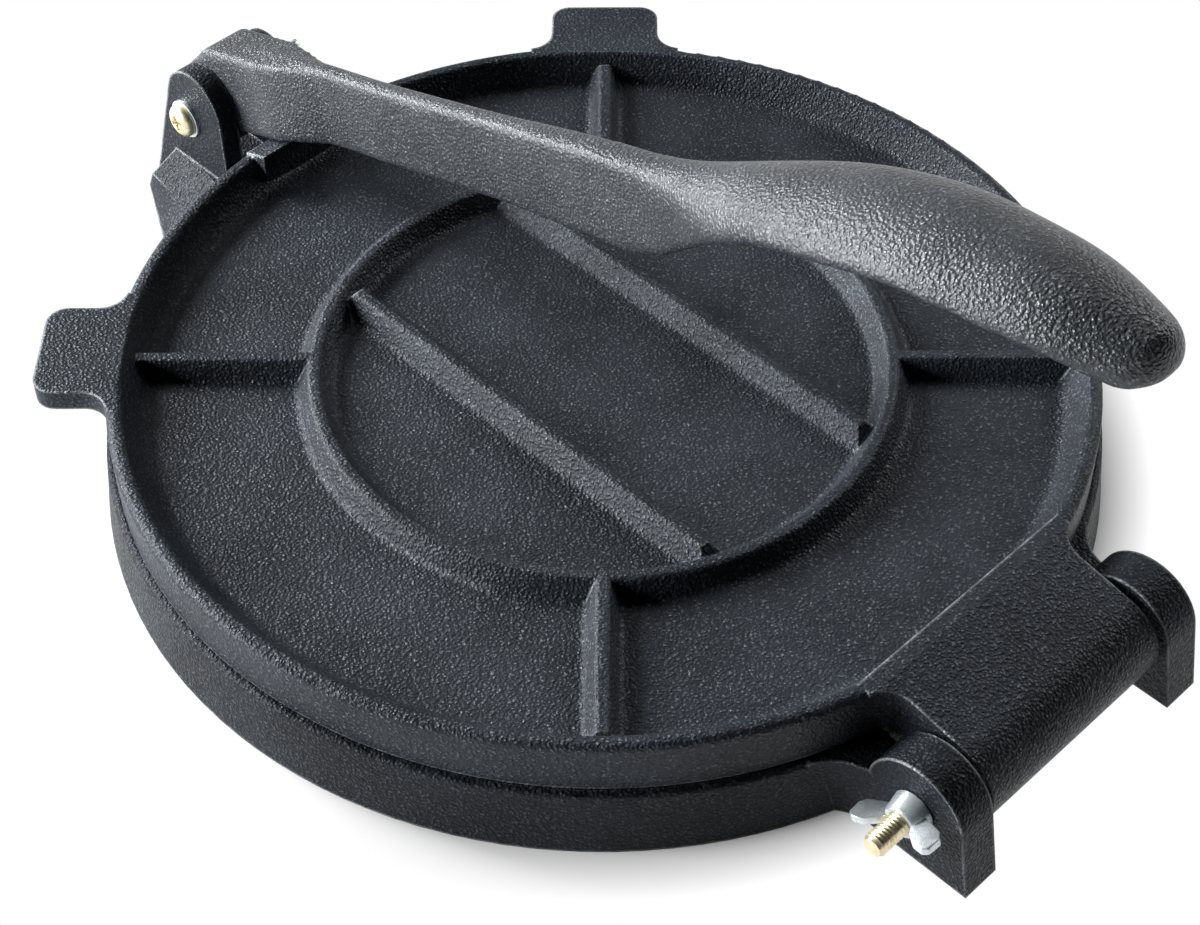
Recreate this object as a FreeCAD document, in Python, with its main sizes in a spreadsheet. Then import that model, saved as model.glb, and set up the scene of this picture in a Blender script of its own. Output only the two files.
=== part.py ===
import FreeCAD, Part
import Sketcher
import math
import os
from types import SimpleNamespace

# Round cast-iron tortilla press. The base stands on z = 0, centred on the origin. The lid's
# hinge is at +Y, the pressing lever's pivot at -Y, and both bolts lie along X. Lengths in mm.

SIZES = {
    # base casting
    "base_lip": 2.0,
    "base_flare": 2.0,
    "base_height": 19.0,
    "base_plate": 7.0,
    "base_skirt": 6.0,
    "base_round": 1.6,
    "base_rib_width": 6.0,
    "base_hub_radius": 17.0,
    # lid casting
    "lid_gap": 0.3,
    "lid_radius": 127.0,
    "lid_plate": 7.0,
    "lid_height": 15.0,
    "lid_round": 2.0,
    "rim_land": 3.6,
    "rim_slope": 5.6,
    "rim_crest_radius": 1.2,
    "rim_root_radius": 3.0,
    "rib_rise": 5.5,
    "rib_crest_radius": 1.0,
    "rib_root_radius": 2.0,
    "ring_radius": 74.3,
    "ring_land": 2.6,
    "ring_foot": 9.5,
    "spoke_land": 3.0,
    "spoke_foot": 8.5,
    "spoke_angle": 45.0,
    "bar_offset": 28.5,
    "bar_land": 2.6,
    "bar_foot": 9.5,
    "bar_reach": 63.0,
    "bar_end_slope": 3.5,
    # lifting tabs of the lid
    "tab_angle": 45.0,
    "tab_length": 18.0,
    "tab_width": 31.0,
    "tab_thickness": 6.0,
    "tab_corner": 5.5,
    "tab_fillet": 7.0,
    # hinge
    "barrel_gap": 1.0,
    "hinge_up": 17.5,
    "barrel_radius": 12.5,
    "barrel_width": 61.4,
    "barrel_play": 2.0,
    "tongue_fall": 11.2,
    "tongue_fillet": 8.0,
    "hinge_lug_thickness": 10.8,
    "hinge_lug_radius": 13.8,
    "hinge_lug_draft": 10.0,
    "hinge_web_fillet": 14.0,
    "hinge_bolt_diameter": 6.0,
    "hinge_bolt_end": 14.5,
    # lever pivot
    "pivot_setback": 23.5,
    "pivot_up": 30.0,
    "lever_slot_width": 16.0,
    "lever_lug_thickness": 6.2,
    "lever_lug_radius": 11.5,
    "lever_lug_lean": 71.5,
    "crown_forward": 4.3,
    "crown_rise": 5.7,
    "slot_floor": 10.0,
    "foot_step": 8.0,
    "foot_top": 14.0,
    "foot_toe_half": 21.0,
    "foot_heel_half": 36.0,
    "foot_root_half": 45.0,
    "foot_toe_past": 15.5,
    "foot_heel_short": 12.0,
    "step_toe_half": 22.5,
    "step_heel_half": 25.0,
    "step_root_half": 33.0,
    "step_toe_past": 10.5,
    "step_heel_short": 9.5,
    "shoulder_root_half": 24.0,
    "shoulder_flare": 1.5,
    "shoulder_toe_past": 8.5,
    "lever_bolt_diameter": 5.0,
    "lever_bolt_end": 11.0,
    # lever
    "rest_angle": 17.3,
    "eye_radius": 12.5,
    "eye_play": 0.25,
    "eye_slope": 31.0,
    "neck_start": 22.7,
    "neck_end": 33.5,
    "cheek_end": 54.5,
    "neck_rise": 20.2,
    "neck_drop": 5.0,
    "under_drop": 2.9,
    "web_rise": 20.7,
    "web_half": 2.9,
    "web_crown": 0.8,
    "grip_past_rim": 50.0,
    "grip_half": 19.6,
    "grip_lift": 24.4,
    "grip_rise": 12.3,
    "grip_crown": 8.8,
    "tip_radius": 12.5,
    # pressing pad on the lid's rim, under the lever
    "pad_half": 15.0,
    "pad_depth": 8.0,
    "pad_setback": 1.0,
    "pad_gap": 0.3,
    # bolt sets
    "bolt_clearance": 0.05,
    "hinge_head_radius": 5.8,
    "hinge_head_height": 3.6,
    "lever_head_radius": 4.9,
    "lever_head_height": 3.0,
    "head_soft": 1.2,
    "thread_chamfer": 0.6,
    "washer_thickness": 0.9,
    "washer_border": 3.2,
    "nut_height": 5.0,
    "nut_wall": 2.6,
    "nut_top_wall": 1.7,
    "wing_span": 24.5,
    "wing_thickness": 2.4,
    "wing_rise": 9.8,
    "wing_width": 7.0,
    "wing_soft": 1.5,
    "hinge_wing_turn": 20.0,
    "lever_wing_turn": 60.0,
    # how far a cut runs past the solid, and how deep an added piece is set into it
    "overrun": 2.0,
    "root_depth": 2.0,
}


class Size:
    """A number together with the sheet formula that it comes from."""

    def __init__(self, number, formula):
        self.number = number
        self.formula = formula

    def __add__(self, other):
        other = size_of(other)
        return Size(self.number + other.number, f"({self.formula} + {other.formula})")

    def __sub__(self, other):
        other = size_of(other)
        return Size(self.number - other.number, f"({self.formula} - {other.formula})")

    def __mul__(self, other):
        other = size_of(other)
        return Size(self.number * other.number, f"({self.formula} * {other.formula})")

    def __truediv__(self, other):
        other = size_of(other)
        return Size(self.number / other.number, f"({self.formula} / {other.formula})")

    def __neg__(self):
        return Size(-self.number, f"(-1 * {self.formula})")


def size_of(value):
    """Give a plain number its formula, and leave a Size as it is."""
    if isinstance(value, Size):
        return value
    return Size(float(value), repr(float(value)))


def root(value):
    return Size(math.sqrt(value.number), f"sqrt({value.formula})")


def sine(degrees):
    return Size(math.sin(math.radians(degrees.number)), f"sin({degrees.formula})")


def cosine(degrees):
    return Size(math.cos(math.radians(degrees.number)), f"cos({degrees.formula})")


def leg(long_side, short_side):
    """The third side of a right triangle, from its longest side and one other."""
    return root(long_side * long_side - short_side * short_side)


ZERO = size_of(0)

doc = FreeCAD.newDocument("TortillaPress")
sheet = doc.addObject("Spreadsheet::Sheet", "Sizes")
for row, (alias, value) in enumerate(SIZES.items(), start=1):
    sheet.set(f"A{row}", alias.replace("_", " "))
    sheet.set(f"B{row}", str(value))
    sheet.setAlias(f"B{row}", alias)
doc.recompute()
s = SimpleNamespace(**{alias: Size(value, f"Sizes.{alias}") for alias, value in SIZES.items()})

# places that several pieces share
base_rim = s.lid_radius + s.base_lip
base_foot = base_rim + s.base_flare
hinge_across = base_rim + s.barrel_gap + s.barrel_radius
pivot_across = base_foot + s.pivot_setback
foot_toe = pivot_across + s.foot_toe_past
foot_heel = pivot_across - s.foot_heel_short
step_toe = pivot_across + s.step_toe_past
step_heel = pivot_across - s.step_heel_short
shoulder_toe = pivot_across + s.shoulder_toe_past
tab_reach = s.lid_radius + s.tab_length
grip_end = pivot_across + s.lid_radius + s.grip_past_rim
lid_bottom = s.base_height + s.lid_gap
lid_floor = lid_bottom + s.lid_plate
lid_top = lid_bottom + s.lid_height
rim_inner = s.lid_radius - s.rim_land
rim_foot = rim_inner - s.rim_slope
rib_top = lid_floor + s.rib_rise
hinge_lug_inner = s.barrel_width / 2 + s.barrel_play
hinge_lug_outer = hinge_lug_inner + s.hinge_lug_thickness
lever_slot = s.lever_slot_width / 2
neck_under = leg(s.eye_radius, s.neck_drop)
lever_lug_outer = lever_slot + s.lever_lug_thickness
crown_across = pivot_across - s.crown_forward
crown_up = s.pivot_up + s.crown_rise


# sketches


def origin_plane(body, role):
    """The body's own origin plane of that role, such as XY_Plane."""
    for feature in body.Origin.OriginFeatures:
        if feature.Role == role:
            return feature
    raise ValueError(role)


def new_body(label):
    body = doc.addObject("PartDesign::Body", label)
    body.Label = label
    return body


def bind(target, path, value):
    """Set a property from the sheet."""
    target.setExpression(path, value.formula)


def new_sketch(body, name, role, offset=None, turn=None, turn_axis=None):
    """A sketch on an origin plane, moved along its normal and turned about one axis."""
    sketch = body.newObject("Sketcher::SketchObject", name)
    sketch.AttachmentSupport = [(origin_plane(body, role), "")]
    sketch.MapMode = "FlatFace"
    if turn is not None:
        spin = FreeCAD.Rotation(turn_axis, turn.number)
        sketch.AttachmentOffset = FreeCAD.Placement(FreeCAD.Vector(), spin)
        bind(sketch, "AttachmentOffset.Rotation.Angle", turn)
    if offset is not None:
        for axis, distance in zip("xyz", offset):
            if distance is not ZERO:
                bind(sketch, f"AttachmentOffset.Base.{axis}", distance)
    return sketch


def pin(sketch, geometry, end, across, up):
    """Hold one end of a line or arc, or a circle's centre, at a place from the sheet."""
    for kind, place in (("DistanceX", across), ("DistanceY", up)):
        place = size_of(place)
        rule = Sketcher.Constraint(kind, -1, 1, geometry, end, place.number)
        index = sketch.addConstraint(rule)
        if place is not ZERO:
            sketch.setExpression(f"Constraints[{index}]", place.formula)


def set_radius(sketch, geometry, radius):
    index = sketch.addConstraint(Sketcher.Constraint("Radius", geometry, radius.number))
    sketch.setExpression(f"Constraints[{index}]", radius.formula)


def add_arc(sketch, start, end, radius, bend):
    """An arc under a half circle from start to end. bend is 1 when it turns left, -1 right."""
    chord = end - start
    middle = (start + end) / 2
    rise = math.sqrt(max(radius.number ** 2 - (chord.Length / 2) ** 2, 0.0))
    side = FreeCAD.Vector(-chord.y, chord.x, 0).normalize() * (rise * bend)
    centre = middle + side
    first, last = (start, end) if bend > 0 else (end, start)
    begin = math.atan2(first.y - centre.y, first.x - centre.x)
    finish = math.atan2(last.y - centre.y, last.x - centre.x)
    circle = Part.Circle(centre, FreeCAD.Vector(0, 0, 1), radius.number)
    geometry = sketch.addGeometry(Part.ArcOfCircle(circle, begin, finish), False)
    set_radius(sketch, geometry, radius)
    return (geometry, 1, 2) if bend > 0 else (geometry, 2, 1)


def draw(sketch, corners):
    """Draw a closed outline through the corners.

    A corner is (across, up), or (across, up, radius, bend) where an arc leads to it.
    """
    corners = [tuple(size_of(part) for part in corner[:3]) + tuple(corner[3:]) for corner in corners]
    points = [FreeCAD.Vector(corner[0].number, corner[1].number, 0) for corner in corners]
    pieces = []
    for index, corner in enumerate(corners):
        start, end = points[index - 1], points[index]
        if len(corner) == 4:
            pieces.append(add_arc(sketch, start, end, corner[2], corner[3]))
        else:
            line = sketch.addGeometry(Part.LineSegment(start, end), False)
            pieces.append((line, 1, 2))
    for index, (geometry, _, last) in enumerate(pieces):
        following, first, _ = pieces[(index + 1) % len(pieces)]
        sketch.addConstraint(Sketcher.Constraint("Coincident", geometry, last, following, first))
        pin(sketch, geometry, last, corners[index][0], corners[index][1])
    return sketch


def draw_circle(sketch, across, up, radius):
    place = FreeCAD.Vector(across.number, up.number, 0)
    circle = Part.Circle(place, FreeCAD.Vector(0, 0, 1), radius.number)
    geometry = sketch.addGeometry(circle, False)
    pin(sketch, geometry, 3, across, up)
    set_radius(sketch, geometry, radius)
    return sketch


def mirrored_corners(half):
    """Repeat a half outline on the other side of the vertical axis, walking back along it."""
    other = []
    for index in range(len(half) - 1, -1, -1):
        corner = half[index]
        arriving = half[index + 1] if index + 1 < len(half) else corner[:2]
        arc = tuple(arriving[2:])
        other.append((-size_of(corner[0]), corner[1]) + arc)
    return list(half) + other


def eased(before, corner, after, radius):
    """Round one corner of an outline: where the arc starts, and where it ends."""
    sides = []
    for end in (before, after):
        across, up = size_of(end[0]) - corner[0], size_of(end[1]) - corner[1]
        long = root(across * across + up * up)
        sides.append((across / long, up / long))
    (back_x, back_y), (on_x, on_y) = sides
    spread = back_x * on_x + back_y * on_y
    cut = radius * root((spread + 1) / (-spread + 1))
    turn = on_x.number * back_y.number - on_y.number * back_x.number
    bend = 1 if turn > 0 else -1
    return [(back_x * cut + corner[0], back_y * cut + corner[1]),
            (on_x * cut + corner[0], on_y * cut + corner[1], radius, bend)]


# features


def pad(body, name, sketch, length, symmetric=False):
    feature = body.newObject("PartDesign::Pad", name)
    feature.Profile = sketch
    feature.SideType = "Symmetric" if symmetric else "One side"
    bind(feature, "Length", length)
    return feature


def pocket(body, name, sketch, length, symmetric=True):
    feature = body.newObject("PartDesign::Pocket", name)
    feature.Profile = sketch
    feature.SideType = "Symmetric" if symmetric else "One side"
    bind(feature, "Length", length)
    return feature


def revolve(body, name, sketch, axis):
    feature = body.newObject("PartDesign::Revolution", name)
    feature.Profile = sketch
    feature.ReferenceAxis = (sketch, [axis])
    feature.Angle = 360
    return feature


def loft(body, name, sketches, ruled=False):
    feature = body.newObject("PartDesign::AdditiveLoft", name)
    feature.Profile = sketches[0]
    feature.Sections = sketches[1:]
    feature.Ruled = ruled
    return feature


def mirror(body, name, feature, role):
    copy = body.newObject("PartDesign::Mirrored", name)
    copy.Originals = [feature]
    copy.MirrorPlane = (origin_plane(body, role), [""])
    body.Tip = copy
    return copy


def polar(body, name, feature, role, count):
    """Repeat a feature evenly about one of the body's own axes."""
    copy = body.newObject("PartDesign::PolarPattern", name)
    copy.Originals = [feature]
    copy.Axis = (origin_plane(body, role), [""])
    copy.Angle = 360
    copy.Occurrences = count
    body.Tip = copy
    return copy


def place(body, across, up, turn=None):
    """Put a body that is drawn about the X axis at its own axis, turned about it."""
    if turn is not None:
        body.Placement = FreeCAD.Placement(
            FreeCAD.Vector(), FreeCAD.Rotation(FreeCAD.Vector(1, 0, 0), turn.number))
        bind(body, "Placement.Rotation.Angle", turn)
    bind(body, "Placement.Base.y", across)
    bind(body, "Placement.Base.z", up)


# base


def make_base():
    body = new_body("base")
    plate_under = s.base_height - s.base_plate
    foot_inner = base_foot - s.base_skirt
    section = new_sketch(body, "base_section", "XZ_Plane")
    draw(section, [
        (ZERO, plate_under),
        (base_rim - s.base_skirt, plate_under),
        (foot_inner, ZERO),
        (base_foot, ZERO),
        (base_rim, s.base_height - s.base_round),
        (base_rim - s.base_round, s.base_height, s.base_round, 1),
        (ZERO, s.base_height),
    ])
    revolve(body, "base_dish", section, "V_Axis")

    hub = new_sketch(body, "hub_outline", "XY_Plane")
    draw_circle(hub, ZERO, ZERO, s.base_hub_radius)
    pad(body, "base_hub", hub, plate_under + s.root_depth)
    rib = new_sketch(body, "rib_outline", "XY_Plane")
    rib_half = s.base_rib_width / 2
    draw(rib, [(ZERO, -rib_half), (foot_inner + s.root_depth, -rib_half),
               (foot_inner + s.root_depth, rib_half), (ZERO, rib_half)])
    ribs = pad(body, "base_rib", rib, plate_under + s.root_depth)
    polar(body, "base_ribs", ribs, "Z_Axis", 4)

    make_hinge_lugs(body)
    make_lever_lugs(body)
    return body


def make_hinge_lugs(body):
    """Two drafted lugs with round eyes, blended into the base's rim on their outer side."""
    radius = s.hinge_lug_radius
    inside = base_rim - s.hinge_web_fillet
    back_across = hinge_across + radius * cosine(s.hinge_lug_draft)
    back_up = s.hinge_up + radius * sine(s.hinge_lug_draft)
    slope = sine(s.hinge_lug_draft) / cosine(s.hinge_lug_draft)
    front = hinge_across - leg(radius, s.base_height - s.hinge_up)
    side = new_sketch(body, "hinge_lug_side", "YZ_Plane", (ZERO, ZERO, hinge_lug_inner))
    draw(side, [
        (inside, ZERO),
        (back_across + back_up * slope, ZERO),
        (back_across, back_up),
        (hinge_across, s.hinge_up + radius, radius, 1),
        (front, s.base_height, radius, 1),
        (inside, s.base_height),
    ])
    lug = pad(body, "hinge_lug", side, s.hinge_lug_thickness)
    mirror(body, "hinge_lugs", lug, "YZ_Plane")

    bend = s.hinge_web_fillet
    centre_x = hinge_lug_outer + bend
    centre_y = leg(base_rim + bend, centre_x)
    share = base_rim / (base_rim + bend)
    web = new_sketch(body, "hinge_web_plan", "XY_Plane")
    lap = hinge_lug_outer - s.hinge_lug_thickness / 2
    draw(web, [
        (lap, inside),
        (centre_x * share - s.base_skirt / 2, inside),
        (centre_x * share, centre_y * share),
        (hinge_lug_outer, centre_y, bend, -1),
        (lap, centre_y),
    ])
    web_pad = pad(body, "hinge_web", web, s.base_height)
    mirror(body, "hinge_webs", web_pad, "YZ_Plane")

    eye = new_sketch(body, "hinge_eye", "YZ_Plane")
    draw_circle(eye, hinge_across, s.hinge_up, s.hinge_bolt_diameter / 2 + s.bolt_clearance)
    pocket(body, "hinge_holes", eye, (hinge_lug_outer + s.overrun) * 2)


def make_lever_lugs(body):
    """Two leaning lugs on a flared foot, with a slot for the lever's eye between them."""
    root_across = base_foot - s.base_skirt
    foot = new_sketch(body, "foot_plan", "XY_Plane")
    draw(foot, mirrored_corners([
        (s.foot_root_half, -root_across),
        (s.foot_heel_half, -foot_heel),
        (s.foot_toe_half, -foot_toe),
    ]))
    step_outline = mirrored_corners([
        (s.step_root_half, -root_across),
        (s.step_heel_half, -step_heel),
        (s.step_toe_half, -step_toe),
    ])
    step = new_sketch(body, "step_plan", "XY_Plane", (ZERO, ZERO, s.foot_step))
    draw(step, step_outline)
    loft(body, "lever_foot", [foot, step], ruled=True)

    low = new_sketch(body, "shoulder_low", "XY_Plane", (ZERO, ZERO, s.foot_step))
    draw(low, step_outline)
    high = new_sketch(body, "shoulder_high", "XY_Plane", (ZERO, ZERO, s.foot_top))
    draw(high, mirrored_corners([
        (s.shoulder_root_half, -root_across),
        (lever_lug_outer + s.shoulder_flare, -step_heel),
        (lever_lug_outer, -shoulder_toe),
    ]))
    loft(body, "lever_shoulder", [low, high], ruled=True)

    radius = s.lever_lug_radius
    tip_across = crown_across + radius * sine(s.lever_lug_lean)
    tip_up = crown_up + radius * cosine(s.lever_lug_lean)
    run = cosine(s.lever_lug_lean) / sine(s.lever_lug_lean)
    side = new_sketch(body, "lever_lug_side", "YZ_Plane")
    draw(side, [
        (-(crown_across - radius), ZERO),
        (-(crown_across - radius), crown_up),
        (-crown_across, crown_up + radius, radius, 1),
        (-tip_across, tip_up, radius, 1),
        (-(tip_across + tip_up * run), ZERO),
    ])
    pad(body, "lever_lugs", side, lever_lug_outer * 2, symmetric=True)

    slot = new_sketch(body, "slot_side", "YZ_Plane")
    slot_front = -(foot_toe + s.overrun)
    slot_back = -base_foot
    slot_top = crown_up + radius + s.overrun
    draw(slot, [(slot_front, s.slot_floor), (slot_back, s.slot_floor),
                (slot_back, slot_top), (slot_front, slot_top)])
    pocket(body, "lever_slot", slot, lever_slot * 2)

    eye = new_sketch(body, "lever_lug_eye", "YZ_Plane")
    draw_circle(eye, -pivot_across, s.pivot_up, s.lever_bolt_diameter / 2 + s.bolt_clearance)
    pocket(body, "lever_holes", eye, (lever_lug_outer + s.overrun) * 2)


# lid


def rib_section(sketch, land, foot, centre):
    """A drafted rib's section with an eased crest and root, set into the floor that carries it."""
    low = lid_floor - s.root_depth
    left, right = centre - foot / 2, centre + foot / 2
    reach = s.rib_root_radius * 2
    left_top, right_top = (centre - land / 2, rib_top), (centre + land / 2, rib_top)
    left_foot, right_foot = (left, lid_floor), (right, lid_floor)
    root_right = eased((right + reach, lid_floor), right_foot, right_top, s.rib_root_radius)
    root_left = eased(left_top, left_foot, (left - reach, lid_floor), s.rib_root_radius)
    draw(sketch, [
        (root_left[1][0], low),
        (root_right[0][0], low),
        root_right[0], root_right[1],
        *eased(right_foot, right_top, left_top, s.rib_crest_radius),
        *eased(right_top, left_top, left_foot, s.rib_crest_radius),
        root_left[0], root_left[1],
    ])


def make_lid():
    body = new_body("lid")
    rim_top, rim_root = (rim_inner, lid_top), (rim_foot, lid_floor)
    section = new_sketch(body, "lid_section", "XZ_Plane")
    draw(section, [
        (ZERO, lid_bottom),
        (s.lid_radius, lid_bottom),
        (s.lid_radius, lid_top - s.lid_round),
        (s.lid_radius - s.lid_round, lid_top, s.lid_round, 1),
        *eased((s.lid_radius, lid_top), rim_top, rim_root, s.rim_crest_radius),
        *eased(rim_top, rim_root, (ZERO, lid_floor), s.rim_root_radius),
        (ZERO, lid_floor),
    ])
    revolve(body, "lid_dish", section, "V_Axis")

    bar = new_sketch(body, "bar_section", "XZ_Plane")
    rib_section(bar, s.bar_land, s.bar_foot, s.bar_offset)
    bar_end = s.bar_reach + s.bar_end_slope
    bar_pad = pad(body, "bar", bar, bar_end * 2, symmetric=True)
    mirror(body, "bars", bar_pad, "YZ_Plane")
    slope = new_sketch(body, "bar_end_side", "YZ_Plane")
    past = bar_end + s.overrun
    draw(slope, [(s.bar_reach, rib_top), (bar_end, lid_floor), (past, lid_floor),
                 (past, rib_top + s.overrun), (s.bar_reach, rib_top + s.overrun)])
    cut = pocket(body, "bar_end", slope, (s.bar_offset + s.bar_foot) * 2)
    mirror(body, "bar_ends", cut, "XZ_Plane")

    ring = new_sketch(body, "ring_section", "XZ_Plane")
    rib_section(ring, s.ring_land, s.ring_foot, s.ring_radius)
    revolve(body, "ring_rib", ring, "V_Axis")

    along = FreeCAD.Vector(0, 1, 0)
    start = (s.ring_radius * sine(s.spoke_angle), ZERO, s.ring_radius * cosine(s.spoke_angle))
    spoke = new_sketch(body, "spoke_section", "YZ_Plane", start, s.spoke_angle, along)
    rib_section(spoke, s.spoke_land, s.spoke_foot, ZERO)
    spoke_pad = pad(body, "spoke", spoke, rim_foot + s.rim_slope / 2 - s.ring_radius)
    polar(body, "spokes", spoke_pad, "Z_Axis", 4)

    make_tabs(body)
    make_tongue(body)
    make_pad(body)
    return body


def make_tabs(body):
    """Two lifting tabs, flush with the rim's top and filleted into its side."""
    half = s.tab_width / 2
    bend = s.tab_fillet
    reach = leg(s.lid_radius + bend, half + bend)
    share = s.lid_radius / (s.lid_radius + bend)
    plan = new_sketch(body, "tab_plan", "XY_Plane", (ZERO, ZERO, lid_top - s.tab_thickness),
                      -s.tab_angle, FreeCAD.Vector(0, 0, 1))
    draw(plan, [
        (rim_inner, -(half + bend) * share),
        (reach * share, -(half + bend) * share),
        (reach, -half, bend, -1),
        (tab_reach - s.tab_corner, -half),
        (tab_reach, s.tab_corner - half, s.tab_corner, 1),
        (tab_reach, half - s.tab_corner),
        (tab_reach - s.tab_corner, half, s.tab_corner, 1),
        (reach, half),
        (reach * share, (half + bend) * share, bend, -1),
        (rim_inner, (half + bend) * share),
    ])
    tab = pad(body, "tab", plan, s.tab_thickness)
    mirror(body, "tabs", tab, "YZ_Plane")


def make_tongue(body):
    """The lid's hinge knuckle: a sloping tongue that ends in a barrel round the bolt."""
    half = s.barrel_width / 2
    bend = s.tongue_fillet
    centre_y = leg(s.lid_radius + bend, half + bend)
    share = s.lid_radius / (s.lid_radius + bend)
    end_across = hinge_across + s.barrel_radius * sine(s.tongue_fall)
    end_up = s.hinge_up + s.barrel_radius * cosine(s.tongue_fall)
    run = cosine(s.tongue_fall) / sine(s.tongue_fall)
    plan = new_sketch(body, "tongue_plan", "XY_Plane", (ZERO, ZERO, lid_bottom))
    draw(plan, mirrored_corners([
        (half, end_across),
        (half, centre_y),
        ((half + bend) * share, centre_y * share, bend, 1),
        ((half + bend) * share, rim_foot),
    ]))
    pad(body, "tongue", plan, s.lid_height)

    start = end_across - (lid_top - end_up) * run
    slope = new_sketch(body, "tongue_slope", "YZ_Plane")
    draw(slope, [(start, lid_top), (end_across, end_up), (end_across + s.overrun, end_up),
                 (end_across + s.overrun, lid_top + s.overrun), (start, lid_top + s.overrun)])
    pocket(body, "tongue_top", slope, (half + bend + s.overrun) * 2)

    barrel = new_sketch(body, "barrel_side", "YZ_Plane")
    draw_circle(barrel, hinge_across, s.hinge_up, s.barrel_radius)
    pad(body, "barrel", barrel, s.barrel_width, symmetric=True)
    eye = new_sketch(body, "barrel_eye", "YZ_Plane")
    draw_circle(eye, hinge_across, s.hinge_up, s.hinge_bolt_diameter / 2 + s.bolt_clearance)
    pocket(body, "barrel_bore", eye, s.barrel_width + s.overrun * 2)


def at_rest(along, up):
    """A point of the lever's own frame where it lies with the lever at rest: across, up."""
    turn, lean = sine(s.rest_angle), cosine(s.rest_angle)
    return along * lean - up * turn - pivot_across, along * turn + up * lean + s.pivot_up


def make_pad(body):
    """The block on the rim that the lever bears on. Its top follows the lever's underside."""
    front = -(s.lid_radius - s.pad_setback)
    back = front + s.pad_depth
    root_across, root_up = at_rest(neck_under, -s.neck_drop - s.pad_gap)
    web_across, web_up = at_rest(s.cheek_end, -s.under_drop - s.pad_gap)
    slope = (web_up - root_up) / (web_across - root_across)
    front_top = root_up + (front - root_across) * slope
    back_top = root_up + (back - root_across) * slope
    side = new_sketch(body, "pad_side", "YZ_Plane")
    low = lid_floor
    draw(side, [(front, low), (back, low), (back, back_top), (front, front_top)])
    pad(body, "pressing_pad", side, s.pad_half * 2, symmetric=True)


# lever

# The arm at shares of its run from the neck to the tip: how far the leaf-shaped grip has
# spread, the lift of its under edge, the rise of its crest over the web's top, and how much of
# the grip's crown it has.
ARM_SHARES = (
    # along, leaf, lift, rise, crown
    (0.00, 0.000, 0.000, 0.000, 0.00),
    (0.12, 0.000, 0.000, 0.000, 0.00),
    (0.18, 0.000, 0.000, -0.030, 0.00),
    (0.31, 0.010, 0.000, 0.016, 0.00),
    (0.45, 0.087, -0.027, 0.106, 0.00),
    (0.50, 0.110, -0.057, 0.124, 0.03),
    (0.55, 0.225, 0.146, 0.177, 0.25),
    (0.62, 0.613, 0.624, 0.472, 0.85),
    (0.70, 0.908, 0.929, 0.848, 0.97),
    (0.78, 1.000, 1.000, 1.000, 1.00),
    (0.88, 0.936, 0.837, 0.759, 1.20),
    (0.95, 0.686, 0.512, 0.276, 1.38),
    (1.00, 0.447, 0.390, -0.216, 0.75),
)
ARM_STATIONS = 21


def blend(rows, along):
    """Read one row between the rows of a table, on a smooth curve without overshoot."""
    index = 0
    while index < len(rows) - 2 and along > rows[index + 1][0]:
        index += 1
    start, end = rows[index], rows[index + 1]
    run = end[0] - start[0]
    share = (along - start[0]) / run
    values = []
    for column in range(1, len(start)):
        slopes = [row_slope(rows, index, column), row_slope(rows, index + 1, column)]
        rise = end[column] - start[column]
        ease = share * share * (3 - 2 * share)
        lead = share * (1 - share) ** 2 * slopes[0] * run
        trail = share ** 2 * (share - 1) * slopes[1] * run
        values.append(start[column] + rise * ease + lead + trail)
    return values


def row_slope(rows, index, column):
    """The slope at a row: the harmonic mean of its neighbours' slopes, or level at a turn."""
    if index in (0, len(rows) - 1):
        first = min(index, len(rows) - 2)
        return (rows[first + 1][column] - rows[first][column]) / (rows[first + 1][0] - rows[first][0])
    before = (rows[index][column] - rows[index - 1][column]) / (rows[index][0] - rows[index - 1][0])
    after = (rows[index + 1][column] - rows[index][column]) / (rows[index + 1][0] - rows[index][0])
    if before * after <= 0:
        return 0.0
    return 2 * before * after / (before + after)


def crowned_section(body, name, along, half, low, side, crown):
    """One cross-section of the lever: flat below, upright sides and an arched top."""
    sketch = new_sketch(body, name, "XZ_Plane", (ZERO, ZERO, -along))
    arch = (half * half + crown * crown) / (crown * 2)
    draw(sketch, [
        (-half, low),
        (half, low),
        (half, low + side),
        (ZERO, low + side + crown, arch, 1),
        (-half, low + side, arch, 1),
    ])
    return sketch


def make_lever():
    """The lever is drawn along +Y with its eye at the origin, and placed at its rest angle."""
    body = new_body("lever")
    run = grip_end - s.neck_start
    sections = []
    for number in range(ARM_STATIONS):
        share = number / (ARM_STATIONS - 1)
        leaf, lift, rise, crown_share = blend(ARM_SHARES, share)
        half = s.web_half + (s.grip_half - s.web_half) * leaf
        low = s.grip_lift * lift - s.under_drop
        crest = s.web_rise + s.grip_rise * rise
        crown = s.web_crown + (s.grip_crown - s.web_crown) * crown_share
        sections.append(crowned_section(body, f"arm_section_{number}", s.neck_start + run * share,
                                        half, low, crest - low - crown, crown))
    loft(body, "arm", sections)

    make_eye(body)
    round_tip(body)
    place(body, -pivot_across, s.pivot_up, s.rest_angle)
    return body


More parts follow.
